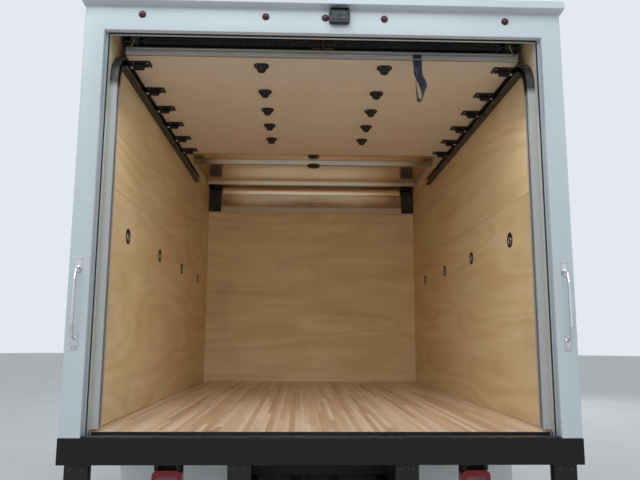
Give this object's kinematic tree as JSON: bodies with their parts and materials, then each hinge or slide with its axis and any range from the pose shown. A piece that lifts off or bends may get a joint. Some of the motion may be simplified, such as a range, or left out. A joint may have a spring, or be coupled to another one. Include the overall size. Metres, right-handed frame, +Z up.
{
  "type": "box truck",
  "caption": "Bonneted box truck with a dry-freight body, its roll-up rear door stored open; wheels turn and steer, cab doors and hood open.",
  "frame": {"origin": "on the ground under the middle of the truck's bounding box", "axes": "+Y forwards, +X to the truck's right, +Z up"},
  "size_m": [2.6, 6.2734, 3.085],
  "materials": {
    "frame_black": "satin",
    "axle_iron": "matt",
    "engine_iron": "matt",
    "tank_steel": "satin",
    "exhaust_steel": "dull",
    "floor_wood": "worn varnish",
    "lining_wood": "bare",
    "body_white": "gloss",
    "mill_aluminium": "mill",
    "rail_white": "gloss",
    "door_cream": "satin",
    "zinc": "zinc plated",
    "hinge_black": "satin",
    "strap_webbing": "woven",
    "lamp_red": "clear gloss",
    "camera_black": "matt",
    "handle_steel": "polished",
    "flap_white": "matt",
    "cab_white": "gloss",
    "trim_black": "matt",
    "bumper_grey": "matt",
    "lamp_clear": "clear",
    "glass": "clear",
    "seat_cloth": "woven",
    "dash_grey": "grained",
    "tyre": "matt",
    "rim_white": "satin"
  },
  "bodies": {
    "chassis": {"frame_rails": "frame_black", "frame_crossmembers": "frame_black", "front_axle": "axle_iron", "rear_axle": "axle_iron", "springs": "frame_black", "drive_line": "engine_iron", "fuel_tank": "tank_steel", "exhaust": "exhaust_steel", "body_subframe": "frame_black", "cargo_floor": "floor_wood", "sill_beam": "frame_black", "rear_frame": "body_white", "cargo_lining": "lining_wood", "tie_rings": "hinge_black", "side_wall_left": "body_white", "side_wall_right": "body_white", "front_wall": "mill_aluminium", "front_trim": "hinge_black", "roof": "mill_aluminium", "roof_bows": "zinc", "body_rails": "rail_white", "door_sections": "door_cream", "door_bottom_rail": "zinc", "door_hinges": "hinge_black", "door_tracks": "zinc", "spring_shaft": "hinge_black", "pull_strap": "strap_webbing", "rear_lamps": "lamp_red", "rear_camera": "camera_black", "grab_handles": "handle_steel", "rear_bumper": "frame_black", "mudflaps": "flap_white", "rear_brackets": "hinge_black", "cab_shell": "cab_white", "fenders": "cab_white", "grille": "trim_black", "headlamps": "lamp_clear", "front_bumper": "bumper_grey", "windscreen": "glass", "wheel_liners": "trim_black", "seats": "seat_cloth", "dashboard": "dash_grey"},
    "cab_door_left": {"cab_door_left": "cab_white", "door_glass_left": "glass", "mirror_left": "trim_black"},
    "knuckle_left": {"knuckle_left": "axle_iron"},
    "cab_door_right": {"cab_door_right": "cab_white", "door_glass_right": "glass", "mirror_right": "trim_black"},
    "knuckle_right": {"knuckle_right": "axle_iron"},
    "hood": {"hood": "cab_white"},
    "steering_wheel": {"steering_wheel": "trim_black"},
    "wheel_front_left": {"tyre_front_left": "tyre", "rim_front_left": "rim_white"},
    "wheel_front_right": {"tyre_front_right": "tyre", "rim_front_right": "rim_white"},
    "wheel_rear_left": {"tyre_rear_left": "tyre", "rim_rear_left": "rim_white"},
    "wheel_rear_right": {"tyre_rear_right": "tyre", "rim_rear_right": "rim_white"}
  },
  "joints": [
    {"name": "steer_left", "type": "hinge", "parent": "chassis", "child": "knuckle_left", "pos_m": [-0.735, 2.2293, 0.372], "axis": [0, 0, 1], "range_deg": [-30, 30]},
    {"name": "spin_front_left", "type": "hinge", "parent": "knuckle_left", "child": "wheel_front_left", "pos_m": [-0.865, 2.2293, 0.372], "axis": [1, 0, 0], "continuous": true},
    {"name": "spin_rear_left", "type": "hinge", "parent": "chassis", "child": "wheel_rear_left", "pos_m": [-0.865, -1.3017, 0.372], "axis": [1, 0, 0], "continuous": true},
    {"name": "cab_door_left_swing", "type": "hinge", "parent": "chassis", "child": "cab_door_left", "pos_m": [-1.01, 1.9043, 1.2], "axis": [0, 0, -1], "range_deg": [0, 65]},
    {"name": "steer_right", "type": "hinge", "parent": "chassis", "child": "knuckle_right", "pos_m": [0.735, 2.2293, 0.372], "axis": [0, 0, 1], "range_deg": [-30, 30]},
    {"name": "spin_front_right", "type": "hinge", "parent": "knuckle_right", "child": "wheel_front_right", "pos_m": [0.865, 2.2293, 0.372], "axis": [1, 0, 0], "continuous": true},
    {"name": "spin_rear_right", "type": "hinge", "parent": "chassis", "child": "wheel_rear_right", "pos_m": [0.865, -1.3017, 0.372], "axis": [1, 0, 0], "continuous": true},
    {"name": "cab_door_right_swing", "type": "hinge", "parent": "chassis", "child": "cab_door_right", "pos_m": [1.01, 1.9043, 1.2], "axis": [0, 0, 1], "range_deg": [0, 65]},
    {"name": "hood_lift", "type": "hinge", "parent": "chassis", "child": "hood", "pos_m": [0, 2.2333, 1.297], "axis": [1, 0, 0], "range_deg": [0, 55]},
    {"name": "steering_wheel_turn", "type": "hinge", "parent": "chassis", "child": "steering_wheel", "pos_m": [-0.4, 1.6303, 1.135], "axis": [0, -0.9131, 0.4077], "range_deg": [-480, 480]}
  ],
  "couplings": [
    {"joint": "steer_right", "follows": "steer_left", "ratio": 1},
    {"joint": "steering_wheel_turn", "follows": "steer_left", "ratio": 16}
  ]
}
